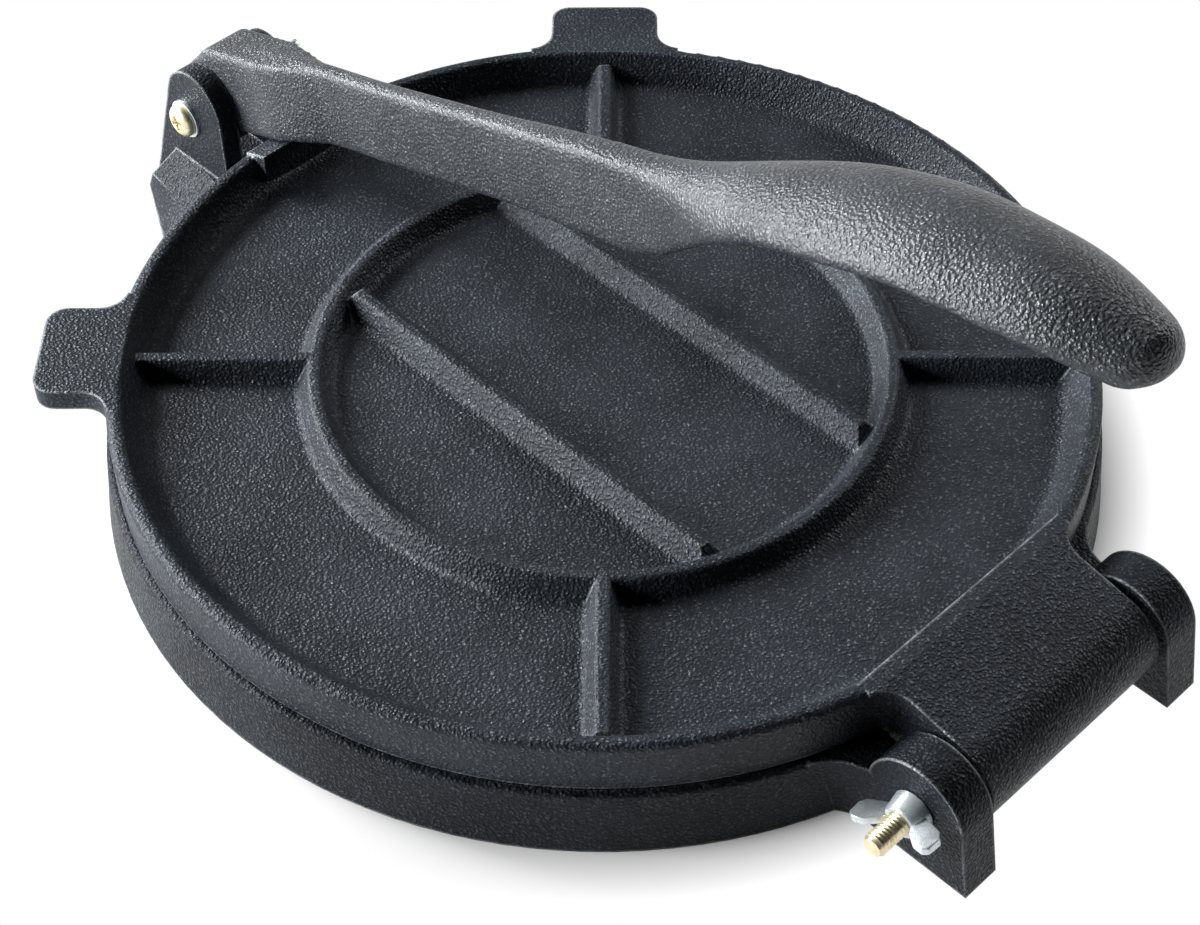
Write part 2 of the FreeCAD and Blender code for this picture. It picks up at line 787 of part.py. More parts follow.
def make_eye(body):
    """The lever's eye and neck, which fill the slot with a little play, and taper to the web."""
    radius = s.eye_radius
    half = lever_slot - s.eye_play
    front = -radius * sine(s.eye_slope)
    front_up = radius * cosine(s.eye_slope)
    shoulder = front + (s.neck_rise - front_up) * cosine(s.eye_slope) / sine(s.eye_slope)
    fall = (s.neck_drop - s.under_drop) / (s.cheek_end - neck_under)
    neck_low = fall * (s.neck_end - neck_under) - s.neck_drop
    side = new_sketch(body, "eye_side", "YZ_Plane")
    draw(side, [
        (s.neck_end, neck_low),
        (s.neck_end, s.neck_rise),
        (shoulder, s.neck_rise),
        (front, front_up),
        (-radius, ZERO, radius, 1),
        (ZERO, -radius, radius, 1),
        (neck_under, -s.neck_drop, radius, 1),
    ])
    pad(body, "eye", side, half * 2, symmetric=True)

    ends = []
    cheeks = (("cheek_root", s.neck_end, half, neck_low, s.neck_rise),
              ("cheek_tip", s.cheek_end, s.web_half, -s.under_drop, s.web_rise - s.web_crown))
    for name, along, wide, low, high in cheeks:
        sketch = new_sketch(body, name, "XZ_Plane", (ZERO, ZERO, -along))
        draw(sketch, [(-wide, low), (wide, low), (wide, high), (-wide, high)])
        ends.append(sketch)
    loft(body, "cheeks", ends, ruled=True)

    bore = new_sketch(body, "eye_bore", "YZ_Plane")
    draw_circle(bore, ZERO, ZERO, s.lever_bolt_diameter / 2 + s.bolt_clearance)
    pocket(body, "bolt_bore", bore, (half + s.overrun) * 2)


def round_tip(body):
    """Trim the grip's end to a round plan."""
    radius = s.tip_radius
    centre = grip_end - radius
    wide = s.grip_half + s.overrun
    far = grip_end + s.grip_half
    plan = new_sketch(body, "tip_plan", "XY_Plane")
    draw(plan, [
        (wide, centre),
        (wide, far),
        (-wide, far),
        (-wide, centre),
        (-radius, centre),
        (ZERO, grip_end, radius, -1),
        (radius, centre, radius, -1),
    ])
    pocket(body, "tip", plan, (s.grip_lift + s.web_rise) * 4)


# bolt sets


def make_bolt_set(name, across, up, seat, reach, tail, diameter, head_radius, head_height, turn):
    """Bolt, head washer and wing nut on one axis along X. seat is 1 with the head at +X."""
    radius = diameter / 2
    side = size_of(seat)
    under_head = reach + s.washer_thickness
    head_top = under_head + head_height
    bolt = new_body(f"{name}_bolt")
    section = new_sketch(bolt, f"{name}_bolt_section", "XY_Plane")
    draw(section, [
        (-tail * side, ZERO),
        (-tail * side, radius - s.thread_chamfer),
        (-(tail - s.thread_chamfer) * side, radius),
        (under_head * side, radius),
        (under_head * side, head_radius),
        ((head_top - s.head_soft) * side, head_radius),
        (head_top * side, head_radius - s.head_soft, s.head_soft, seat * -1),
        (head_top * side, ZERO),
    ])
    revolve(bolt, f"{name}_bolt_turned", section, "H_Axis")
    place(bolt, across, up)

    washer = new_body(f"{name}_washer")
    ring = new_sketch(washer, f"{name}_washer_section", "XY_Plane")
    inner = radius + s.bolt_clearance
    outer = radius + s.washer_border
    draw(ring, [(reach * side, inner), (reach * side, outer),
                (under_head * side, outer), (under_head * side, inner)])
    revolve(washer, f"{name}_washer_turned", ring, "H_Axis")
    place(washer, across, up)

    nut = new_body(f"{name}_wing_nut")
    hub = new_sketch(nut, f"{name}_nut_section", "XY_Plane")
    top = reach + s.nut_height
    draw(hub, [(-reach * side, inner), (-top * side, inner),
               (-top * side, radius + s.nut_top_wall), (-reach * side, radius + s.nut_wall)])
    revolve(nut, f"{name}_nut_hub", hub, "H_Axis")
    wing = new_sketch(nut, f"{name}_wing_side", "XY_Plane")
    half_span = s.wing_span / 2
    high = reach + s.wing_rise
    draw(wing, [
        (-(reach + s.wing_soft / 2) * side, radius + s.nut_top_wall / 2),
        (-(reach + s.wing_rise - s.wing_width) * side, half_span),
        (-high * side, half_span - s.wing_soft),
        (-(high - s.wing_soft) * side, half_span - s.wing_width),
        (-(top - s.wing_soft / 2) * side, radius + s.nut_top_wall / 2),
    ])
    ear = pad(nut, f"{name}_wing", wing, s.wing_thickness, symmetric=True)
    polar(nut, f"{name}_wings", ear, "X_Axis", 2)
    place(nut, across, up, turn)
    return bolt, washer, nut


pieces = [make_base(), make_lid(), make_lever()]
pieces += make_bolt_set("hinge", hinge_across, s.hinge_up, -1, hinge_lug_outer,
                        hinge_lug_outer + s.hinge_bolt_end, s.hinge_bolt_diameter,
                        s.hinge_head_radius, s.hinge_head_height, s.hinge_wing_turn)
pieces += make_bolt_set("lever", -pivot_across, s.pivot_up, 1, lever_lug_outer,
                        lever_lug_outer + s.lever_bolt_end, s.lever_bolt_diameter,
                        s.lever_head_radius, s.lever_head_height, s.lever_wing_turn)
doc.recompute()

for item in doc.Objects:
    if "Invalid" in item.State or "Error" in item.State:
        raise RuntimeError(f"{item.Label} did not build: {item.State}")
for piece in pieces:
    shape = piece.Shape
    if shape.isNull() or not shape.isValid() or not shape.Solids:
        raise RuntimeError(f"{piece.Label} has no valid solid")

os.makedirs("parts", exist_ok=True)
for piece in pieces:
    piece.Shape.exportStep(f"parts/{piece.Label}.step")
    box = piece.Shape.BoundBox
    print(f"{piece.Label}: {len(piece.Shape.Solids)} solid, {piece.Shape.Volume / 1000:.1f} cm3, "
          f"x {box.XMin:.1f}..{box.XMax:.1f} y {box.YMin:.1f}..{box.YMax:.1f} "
          f"z {box.ZMin:.1f}..{box.ZMax:.1f}")
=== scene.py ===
"""Studio picture of a round cast-iron tortilla press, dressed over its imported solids."""
from __future__ import annotations

import logging
import math
from dataclasses import dataclass
from enum import Enum
from typing import ClassVar

import bmesh
import bpy
from mathutils import Matrix, Quaternion, Vector

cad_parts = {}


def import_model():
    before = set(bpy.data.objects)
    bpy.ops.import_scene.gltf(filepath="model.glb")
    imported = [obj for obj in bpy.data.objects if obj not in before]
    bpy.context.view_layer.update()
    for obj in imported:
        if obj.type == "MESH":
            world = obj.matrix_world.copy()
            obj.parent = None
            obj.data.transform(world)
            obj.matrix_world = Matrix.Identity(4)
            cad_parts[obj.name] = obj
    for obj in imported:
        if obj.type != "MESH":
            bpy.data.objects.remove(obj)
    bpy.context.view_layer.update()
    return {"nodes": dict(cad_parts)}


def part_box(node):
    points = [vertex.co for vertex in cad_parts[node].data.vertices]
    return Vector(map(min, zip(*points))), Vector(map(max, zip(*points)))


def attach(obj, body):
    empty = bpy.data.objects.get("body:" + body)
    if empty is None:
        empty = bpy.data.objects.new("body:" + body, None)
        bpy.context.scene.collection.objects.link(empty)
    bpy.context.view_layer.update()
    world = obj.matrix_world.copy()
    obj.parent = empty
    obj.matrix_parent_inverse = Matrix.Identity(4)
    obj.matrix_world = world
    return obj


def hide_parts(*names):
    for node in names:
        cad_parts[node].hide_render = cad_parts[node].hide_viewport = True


LOG = logging.getLogger("tortilla_press")
MM = 0.001
MERGE = 1e-6

# Most of a noise texture's values lie between these two.
NOISE_LOW = 0.35
NOISE_HIGH = 0.65


class Slot(Enum):
    """The record's material slots."""

    IRON = "cast_iron_black"
    BRASS = "brass"
    ZINC = "zinc"


class NodeSheet:
    """A node tree with short calls for placing and joining nodes."""

    def __init__(self, tree: bpy.types.NodeTree) -> None:
        """Keep the tree.

        Args:
            tree: The node tree to fill.
        """
        self.tree = tree

    def add(self, kind: str, **settings: object) -> bpy.types.Node:
        """Place a node.

        Args:
            kind: The node's type name.
            settings: Properties to set on it.

        Returns:
            The new node.
        """
        node = self.tree.nodes.new(kind)
        for name, value in settings.items():
            setattr(node, name, value)
        return node

    def feed(self, node: bpy.types.Node, socket: str | int, source: object) -> None:
        """Join an output to an input, or set the input's own value.

        Args:
            node: The node with the input.
            socket: The input's name or number.
            source: An output socket, or a plain value.
        """
        if isinstance(source, bpy.types.NodeSocket):
            self.tree.links.new(source, node.inputs[socket])
        else:
            node.inputs[socket].default_value = source

    def math(self, operation: str, first: object, second: object = 0.0) -> bpy.types.NodeSocket:
        """Combine two values.

        Args:
            operation: The math node's operation.
            first: A socket or a number.
            second: A socket or a number.

        Returns:
            The result's socket.
        """
        node = self.add("ShaderNodeMath", operation=operation)
        self.feed(node, 0, first)
        self.feed(node, 1, second)
        return node.outputs[0]

    def span(self, value: object, low: float, high: float, start: float, end: float) -> bpy.types.NodeSocket:
        """Map a value from one range to another and hold it there.

        Args:
            value: The socket to map.
            low: The value that gives start.
            high: The value that gives end.
            start: The result at low.
            end: The result at high.

        Returns:
            The result's socket.
        """
        node = self.add("ShaderNodeMapRange")
        for number, source in enumerate((value, low, high, start, end)):
            self.feed(node, number, source)
        return node.outputs[0]

    def blend(self, share: object, first: object, second: object) -> bpy.types.NodeSocket:
        """Mix two colours.

        Args:
            share: How much of the second colour, as a socket or number.
            first: The first colour.
            second: The second colour.

        Returns:
            The mixed colour's socket.
        """
        node = self.add("ShaderNodeMix", data_type="RGBA")
        self.feed(node, 0, share)
        self.feed(node, 6, first)
        self.feed(node, 7, second)
        return node.outputs[2]

    def noise(self, place: object, scale: object, detail: float) -> bpy.types.NodeSocket:
        """A noise value from 0 to 1.

        Args:
            place: The coordinate socket.
            scale: Cells to the metre, as a socket or number.
            detail: Octaves.

        Returns:
            The noise's value socket.
        """
        node = self.add("ShaderNodeTexNoise")
        self.feed(node, "Vector", place)
        self.feed(node, "Scale", scale)
        self.feed(node, "Detail", detail)
        return node.outputs["Fac"]

    def emboss(self, surface: bpy.types.Node, strength: float, depth: float, height: object,
               normal: bpy.types.NodeSocket | None = None) -> None:
        """Give a shader a bumped normal.

        Args:
            surface: The shader.
            strength: The bump's strength.
            depth: The bump's height in metres.
            height: The height's socket.
            normal: The normal to start from, where it isn't the surface's own.
        """
        bump = self.add("ShaderNodeBump")
        self.feed(bump, "Strength", strength)
        self.feed(bump, "Distance", depth)
        self.feed(bump, "Height", height)
        if normal is not None:
            self.feed(bump, "Normal", normal)
        self.feed(surface, "Normal", bump.outputs["Normal"])


class CastSkin:
    """The pebbled skin of a sand casting and the wear on its edges with a painted highlight, as one shared node
    group.
    """

    NAME = "sand_cast_skin"
    PEBBLE_SCALE = 1350.0
    PEBBLE_DETAIL = 2.5
    NOISE_SHARE = 0.50
    MOTTLE_SCALE = 38.0
    MOTTLE_DETAIL = 3.0
    PATCH_SCALE = 160.0
    PATCH_DETAIL = 2.0
    PATCH_LEAST = 0.35
    EDGE_SAMPLES = 6
    WEAR_AND_HIGHLIGHT_WIDTH = 1.3 * MM
    WEAR_AND_HIGHLIGHT_STARTS = 0.985
    WEAR_AND_HIGHLIGHT_FULL = 0.84

    @classmethod
    def group(cls) -> bpy.types.NodeTree:
        """Build the group once.

        Returns:
            The node group, with Height, Mottle, Wear And Highlight and Eased Normal outputs.
        """
        found = bpy.data.node_groups.get(cls.NAME)
        if found is not None:
            return found
        tree = bpy.data.node_groups.new(cls.NAME, "ShaderNodeTree")
        for name, value in (("Pebble Scale", cls.PEBBLE_SCALE), ("Wear And Highlight Width", cls.WEAR_AND_HIGHLIGHT_WIDTH)):
            socket = tree.interface.new_socket(name=name, in_out="INPUT", socket_type="NodeSocketFloat")
            socket.default_value = value
        for name in ("Height", "Mottle", "Wear And Highlight"):
            tree.interface.new_socket(name=name, in_out="OUTPUT", socket_type="NodeSocketFloat")
        tree.interface.new_socket(name="Eased Normal", in_out="OUTPUT", socket_type="NodeSocketVector")
        sheet = NodeSheet(tree)
        given = sheet.add("NodeGroupInput")
        place = sheet.add("ShaderNodeTexCoord").outputs["Object"]
        fine = sheet.noise(place, given.outputs["Pebble Scale"], cls.PEBBLE_DETAIL)
        pebble = sheet.add("ShaderNodeTexVoronoi", feature="SMOOTH_F1")
        sheet.feed(pebble, "Vector", place)
        sheet.feed(pebble, "Scale", given.outputs["Pebble Scale"])
        round_top = sheet.math("SUBTRACT", 1.0, pebble.outputs["Distance"])
        height = sheet.math("ADD", sheet.math("MULTIPLY", fine, cls.NOISE_SHARE),
                            sheet.math("MULTIPLY", round_top, 1.0 - cls.NOISE_SHARE))
        broad = sheet.noise(place, cls.MOTTLE_SCALE, cls.MOTTLE_DETAIL)
        # Edge mask: where edges are lightened, partly as wear and partly as a painted highlight.
        edge = sheet.add("ShaderNodeBevel", samples=cls.EDGE_SAMPLES)
        sheet.feed(edge, "Radius", given.outputs["Wear And Highlight Width"])
        face = sheet.add("ShaderNodeNewGeometry").outputs["Normal"]
        turn = sheet.add("ShaderNodeVectorMath", operation="DOT_PRODUCT")
        sheet.feed(turn, 0, edge.outputs["Normal"])
        sheet.feed(turn, 1, face)
        wear_and_highlight = sheet.span(turn.outputs["Value"], cls.WEAR_AND_HIGHLIGHT_STARTS, cls.WEAR_AND_HIGHLIGHT_FULL, 0.0, 1.0)
        patches = sheet.span(sheet.noise(place, cls.PATCH_SCALE, cls.PATCH_DETAIL),
                             NOISE_LOW, NOISE_HIGH, cls.PATCH_LEAST, 1.0)
        patchy_wear_and_highlight = sheet.math("MULTIPLY", wear_and_highlight, patches)
        out = sheet.add("NodeGroupOutput")
        sheet.feed(out, "Height", height)
        sheet.feed(out, "Mottle", broad)
        sheet.feed(out, "Wear And Highlight", patchy_wear_and_highlight)
        sheet.feed(out, "Eased Normal", edge.outputs["Normal"])
        return tree


@dataclass(frozen=True)
class IronFinish:
    """Seasoned cast iron, with grain that has painted glints on its pebble tops, and worn edges with a painted
    highlight.
    """

    name: str
    dark: tuple[float, float, float, float] = (0.016, 0.019, 0.025, 1.0)
    light: tuple[float, float, float, float] = (0.030, 0.036, 0.046, 1.0)
    # Colour of the painted glints on the pebble tops.
    glint: tuple[float, float, float, float] = (0.27, 0.33, 0.37, 1.0)
    # Colour of the edges: partly worn metal, partly a painted edge highlight.
    worn_edge_and_highlight: tuple[float, float, float, float] = (0.46, 0.50, 0.52, 1.0)
    depth: float = 0.80 * MM
    smooth: float = 0.27
    rough: float = 0.56
    shine: float = 0.22
    metal: float = 0.15
    relief: float = 0.85
    hollow: float = 0.35
    crest: float = 0.75
    glint_starts: float = 0.60
    glint_full: float = 0.76
    spark: float = 0.46
    wear_and_highlight_share: float = 0.80
    polish: float = 0.12

    def material(self) -> bpy.types.Material:
        """Build the material.

        Returns:
            The new material.
        """
        made = bpy.data.materials.new(self.name)
        made.use_nodes = True
        sheet = NodeSheet(made.node_tree)
        surface = made.node_tree.nodes["Principled BSDF"]
        skin = sheet.add("ShaderNodeGroup", node_tree=CastSkin.group())
        sheet.feed(skin, "Pebble Scale", CastSkin.PEBBLE_SCALE)
        mottle = sheet.span(skin.outputs["Mottle"], NOISE_LOW, NOISE_HIGH, 0.0, 1.0)
        ground = sheet.blend(mottle, self.dark, self.light)
        # Painted glints: the pebble tops are lightened towards the glint colour.
        spark = sheet.span(skin.outputs["Height"], self.glint_starts, self.glint_full, 0.0, self.spark)
        grain_with_painted_glints = sheet.blend(spark, ground, self.glint)
        # Edges get a light colour: partly wear, partly a painted highlight along them.
        wear_and_highlight = sheet.math("MULTIPLY", skin.outputs["Wear And Highlight"], self.wear_and_highlight_share)
        sheet.feed(surface, "Base Color", sheet.blend(wear_and_highlight, grain_with_painted_glints, self.worn_edge_and_highlight))
        grain = sheet.span(skin.outputs["Height"], self.hollow, self.crest, self.rough, self.smooth)
        polished = sheet.math("MULTIPLY", wear_and_highlight, self.polish)
        sheet.feed(surface, "Roughness", sheet.math("SUBTRACT", grain, polished))
        surface.inputs["Metallic"].default_value = self.metal
        surface.inputs["Specular IOR Level"].default_value = self.shine
        sheet.emboss(surface, self.relief, self.depth, skin.outputs["Height"], skin.outputs["Eased Normal"])
        return made


@dataclass(frozen=True)
class PlatedFinish:
    """Bright metal with a slight tarnish and fine handling marks."""

    name: str
    bright: tuple[float, float, float, float]
    dull: tuple[float, float, float, float]
    smooth: float
    rough: float
    metallic: float = 0.75
    cloud_scale: float = 420.0
    cloud_low: float = 0.38
    cloud_high: float = 0.66
    mark_scale: float = 2600.0
    mark_depth: float = 0.06 * MM
    relief: float = 0.35

    def material(self) -> bpy.types.Material:
        """Build the material.

        Returns:
            The new material.
        """
        made = bpy.data.materials.new(self.name)
        made.use_nodes = True
        sheet = NodeSheet(made.node_tree)
        surface = made.node_tree.nodes["Principled BSDF"]
        place = sheet.add("ShaderNodeTexCoord").outputs["Object"]
        cloud = sheet.span(sheet.noise(place, self.cloud_scale, 3.0), self.cloud_low, self.cloud_high, 0.0, 1.0)
        sheet.feed(surface, "Base Color", sheet.blend(cloud, self.bright, self.dull))
        sheet.feed(surface, "Roughness", sheet.span(cloud, 0.0, 1.0, self.smooth, self.rough))
        surface.inputs["Metallic"].default_value = self.metallic
        sheet.emboss(surface, self.relief, self.mark_depth, sheet.noise(place, self.mark_scale, 2.0))
        return made


@dataclass(frozen=True)
class Axis:
    """A bolt's axis along X, through a point in the frame."""

    across: float
    up: float

    @classmethod
    def of(cls, node: str) -> "Axis":
        """The axis through the middle of a solid.

        Args:
            node: The solid's name.

        Returns:
            The axis.
        """
        low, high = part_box(node)
        return cls((low.y + high.y) / 2, (low.z + high.z) / 2)

    @property
    def point(self) -> Vector:
        """The axis's point on x = 0."""
        return Vector((0.0, self.across, self.up))


class Piece:
    """Finishing steps that every modelled piece goes through."""

    @staticmethod
    def lathe(profile: list[tuple[float, float]], axis: Axis, steps: int = 56) -> bmesh.types.BMesh:
        """Turn a profile about an axis along X.

        Args:
            profile: Points as (x, radius), walked along the surface.
            axis: The axis to turn about.
            steps: Facets round the axis.

        Returns:
            The turned mesh.
        """
        work = bmesh.new()
        corners = [work.verts.new((x, axis.across + radius, axis.up)) for x, radius in profile]
        edges = [work.edges.new(pair) for pair in zip(corners, corners[1:])]
        bmesh.ops.spin(work, geom=corners + edges, cent=axis.point, axis=(1, 0, 0), dvec=(0, 0, 0),
                       angle=math.tau, steps=steps, use_merge=True, use_duplicate=False)
        bmesh.ops.remove_doubles(work, verts=work.verts, dist=MERGE)
        bmesh.ops.recalc_face_normals(work, faces=work.faces)
        return work

    @staticmethod
    def settle(work: bmesh.types.BMesh, name: str, sharp: float = 38.0) -> bpy.types.Object:
        """Turn a mesh in work into an object in the scene.

        Args:
            work: The mesh in work, which is freed.
            name: The object's name.
            sharp: Edges sharper than this many degrees stay sharp.

        Returns:
            The new object.
        """
        mesh = bpy.data.meshes.new(name)
        work.to_mesh(mesh)
        work.free()
        mesh.polygons.foreach_set("use_smooth", [True] * len(mesh.polygons))
        mesh.set_sharp_from_angle(angle=math.radians(sharp))
        made = bpy.data.objects.new(name, mesh)
        bpy.context.scene.collection.objects.link(made)
        return made

    @staticmethod
    def apply(made: bpy.types.Object) -> bpy.types.Mesh:
        """Make a piece's modifiers part of its mesh.

        Args:
            made: The piece.

        Returns:
            Its new mesh.
        """
        graph = bpy.context.evaluated_depsgraph_get()
        ready = bpy.data.meshes.new_from_object(made.evaluated_get(graph))
        made.modifiers.clear()
        made.data = ready
        return ready

    @staticmethod
    def dress(made: bpy.types.Object, finish: bpy.types.Material, body: str, slot: Slot, node: str) -> None:
        """Give a piece its finish, its body and the solid it stands for.

        Args:
            made: The piece.
            finish: Its material.
            body: The body it moves with.
            slot: The record's slot; not used.
            node: The solid it stands for.
        """
        made.data.materials.append(finish)
        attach(made, body)
        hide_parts(node)
        LOG.info("%s stands for %s on body %s", made.name, node, body)


@dataclass(frozen=True)
class PouredCasting:
    """A casting whose edges and tip are rounded as poured iron rounds them.

    The whole casting is eased in a few passes. From tip_start to tip_end along Y the passes grow in
    number, so that the grip ends in a smooth lobe.
    """

    node: str
    body: str
    cell: float = 0.9 * MM
    ease: float = 0.5
    passes: int = 5
    tip_passes: int = 110
    tip_start: float = 0.0
    tip_end: float = 0.138

    def build(self, solid: bpy.types.Object, finish: bpy.types.Material) -> bpy.types.Object:
        """Make the piece from a merged copy of its solid.

        Args:
            solid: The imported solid, which stays as it is.
            finish: Its material.

        Returns:
            The finished piece.
        """
        bpy.context.view_layer.update()
        work = bmesh.new()
        work.from_mesh(solid.data)
        bmesh.ops.transform(work, matrix=solid.matrix_world, verts=work.verts)
        bmesh.ops.remove_doubles(work, verts=work.verts, dist=MERGE)
        for face in work.faces:
            face.material_index = 0
        made = Piece.settle(work, self.node + "_poured", sharp=180.0)
        skin = made.modifiers.new("skin", "REMESH")
        skin.mode, skin.voxel_size, skin.use_smooth_shade = "VOXEL", self.cell, True
        ready = Piece.apply(made)
        soft = bmesh.new()
        soft.from_mesh(ready)
        run = (self.tip_end - self.tip_start) / self.tip_passes
        everywhere = [-math.inf] * self.passes
        starts = everywhere + [self.tip_start + run * step for step in range(self.tip_passes)]
        for start in starts:
            zone = [vert for vert in soft.verts if vert.co.y > start]
            bmesh.ops.smooth_vert(soft, verts=zone, factor=self.ease,
                                  use_axis_x=True, use_axis_y=True, use_axis_z=True)
        soft.to_mesh(ready)
        soft.free()
        Piece.dress(made, finish, self.body, Slot.IRON, self.node)
        return made


@dataclass
class Bolt:
    """A machine bolt with a pan head and a threaded end.

    The thread is a row of closed rings. Its flanks and crests are given as shares of the pitch.
    """

    node: str
    thread_pitch: float = 1.0 * MM
    thread_depth: float = 0.38 * MM
    thread_run: float = 15.0 * MM
    head_rise: float = 3.2 * MM
    recess_long: float = 5.4 * MM
    recess_wide: float = 1.2 * MM
    recess_deep: float = 1.5 * MM
    shank: float = 3.0 * MM
    head: float = 5.8 * MM
    head_side: int = 1
    first_root: float = 0.60
    crest_starts: float = 0.42
    crest_ends: float = 0.58
    point_depth: float = 1.6
    head_edge: float = 0.25 * MM
    head_skirt: float = 0.9 * MM
    crown_flat: float = 0.30
    crown_steps: int = 6
    recess_turn: float = 0.35

    def profile(self) -> list[tuple[float, float]]:
        """The bolt's outline from its threaded end to its crowned head.

        Returns:
            Points as (x, radius).
        """
        low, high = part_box(self.node)
        side = self.head_side
        tail, top = (low.x, high.x) if side > 0 else (high.x, low.x)
        points = [(tail, 0.0), (tail, self.shank - self.thread_depth * self.point_depth)]
        turns = int(self.thread_run / self.thread_pitch)
        for turn in range(turns):
            start = tail + side * (turn + self.first_root) * self.thread_pitch
            points.append((start, self.shank - self.thread_depth))
            for share in (self.crest_starts, self.crest_ends):
                points.append((start + side * share * self.thread_pitch, self.shank))
        under = top - side * self.head_rise
        points += [(under, self.shank), (under, self.head - self.head_edge),
                   (under + side * self.head_edge, self.head)]
        for step in range(self.crown_steps + 1):
            angle = math.radians(90.0 * step / self.crown_steps)
            rise = self.head_skirt + (self.head_rise - self.head_skirt) * math.sin(angle)
            radius = self.head * (self.crown_flat + (1.0 - self.crown_flat) * math.cos(angle))
            points.append((under + side * rise, radius if step < self.crown_steps else 0.0))
        return points

    def recess(self, axis: Axis) -> bpy.types.Object:
        """The cross that is cut out of the head.

        Args:
            axis: The bolt's axis.

        Returns:
            A temporary object to cut with.
        """
        low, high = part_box(self.node)
        top = high.x if self.head_side > 0 else low.x
        work = bmesh.new()
        for turn in (self.recess_turn, self.recess_turn + math.pi / 2):
            arm = bmesh.ops.create_cube(work, size=1.0)["verts"]
            bmesh.ops.scale(work, vec=(self.recess_deep * 2, self.recess_long, self.recess_wide), verts=arm)
            bmesh.ops.rotate(work, cent=(0, 0, 0), matrix=Matrix.Rotation(turn, 3, "X"), verts=arm)
            bmesh.ops.translate(work, vec=(top, axis.across, axis.up), verts=arm)
        return Piece.settle(work, self.node + "_recess")

    def build(self, finish: bpy.types.Material) -> bpy.types.Object:
        """Make the bolt with its cross recess.

        Args:
            finish: Its material.

        Returns:
            The finished piece.
        """
        axis = Axis.of(self.node)
        made = Piece.settle(Piece.lathe(self.profile(), axis), self.node + "_threaded", sharp=30.0)
        cutter = self.recess(axis)
        cut = made.modifiers.new("recess", "BOOLEAN")
        cut.operation, cut.solver, cut.object = "DIFFERENCE", "EXACT", cutter
        cut.use_self = True
        Piece.apply(made)
        bpy.data.objects.remove(cutter)
        Piece.dress(made, finish, "base", Slot.BRASS, self.node)
        return made


@dataclass
class WingNut:
    """A wing nut with a coned hub and two broad wings that lean out from it.

    WING lists a wing's outline as shares of the nut's reach along its bolt and of its span.
    """

    WING: ClassVar[tuple[tuple[float, float], ...]] = (
        (0.10, 0.28), (0.22, 0.62), (0.34, 0.90), (0.52, 1.00), (0.90, 0.98),
        (1.00, 0.86), (0.94, 0.62), (0.72, 0.38), (0.50, 0.28))

    node: str
    body: str
    side: int
    turn: float
    bore: float = 3.1 * MM
    hub_rise: float = 5.2 * MM
    hub_low: float = 5.6 * MM
    hub_high: float = 4.6 * MM
    wing_thick: float = 2.2 * MM
    span: float = 12.1 * MM
    seat_edge: float = 0.3 * MM
    hub_edge: float = 0.5 * MM
    wing_edge: float = 0.45 * MM

    def build(self, finish: bpy.types.Material) -> bpy.types.Object:
        """Make the nut.

        Args:
            finish: Its material.

        Returns:
            The finished piece.
        """
        low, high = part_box(self.node)
        axis = Axis.of(self.node.replace("_wing_nut", "_bolt"))
        seat = low.x if self.side > 0 else high.x
        reach = high.x - low.x
        work = Piece.lathe([
            (seat, self.bore), (seat, self.hub_low - self.seat_edge),
            (seat + self.side * self.seat_edge, self.hub_low),
            (seat + self.side * (self.hub_rise - self.hub_edge), self.hub_high),
            (seat + self.side * self.hub_rise, self.hub_high - self.hub_edge),
            (seat + self.side * self.hub_rise, self.bore), (seat, self.bore),
        ], axis)
        for turn in (self.turn, self.turn + math.pi):
            corners = [
                work.verts.new((seat + self.side * along * reach, self.span * out, -self.wing_thick / 2))
                for along, out in self.WING]
            face = work.faces.new(corners)
            grown = bmesh.ops.extrude_face_region(work, geom=[face])["geom"]
            top = [item for item in grown if isinstance(item, bmesh.types.BMVert)]
            bmesh.ops.translate(work, vec=(0, 0, self.wing_thick), verts=top)
            own = set(corners + top)
            ring = [edge for edge in work.edges if own.issuperset(edge.verts)]
            bevelled = bmesh.ops.bevel(work, geom=ring, offset=self.wing_edge, segments=2, profile=0.5,
                                       affect="EDGES", clamp_overlap=True, material=-1)
            wing = list({vert for vert in corners + top + bevelled["verts"] if vert.is_valid})
            bmesh.ops.rotate(work, cent=(0, 0, 0), matrix=Matrix.Rotation(turn, 3, "X"), verts=wing)
            bmesh.ops.translate(work, vec=axis.point, verts=wing)
        bmesh.ops.recalc_face_normals(work, faces=work.faces)
        made = Piece.settle(work, self.node + "_winged")
        Piece.dress(made, finish, self.body, Slot.ZINC, self.node)
        return made


@dataclass(frozen=True)
class Lamp:
    """A soft rectangular studio lamp that faces the press."""

    name: str
    place: tuple[float, float, float]
    width: float
    height: float
    power: float

    def build(self) -> None:
        """Hang the lamp."""
        data = bpy.data.lights.new(self.name, "AREA")
        data.shape, data.size, data.size_y, data.energy = "RECTANGLE", self.width, self.height, self.power
        lamp = bpy.data.objects.new(self.name, data)
        lamp.location = self.place
        lamp.rotation_mode = "QUATERNION"
        lamp.rotation_quaternion = (-Vector(self.place)).to_track_quat("-Z", "Y")
        bpy.context.scene.collection.objects.link(lamp)


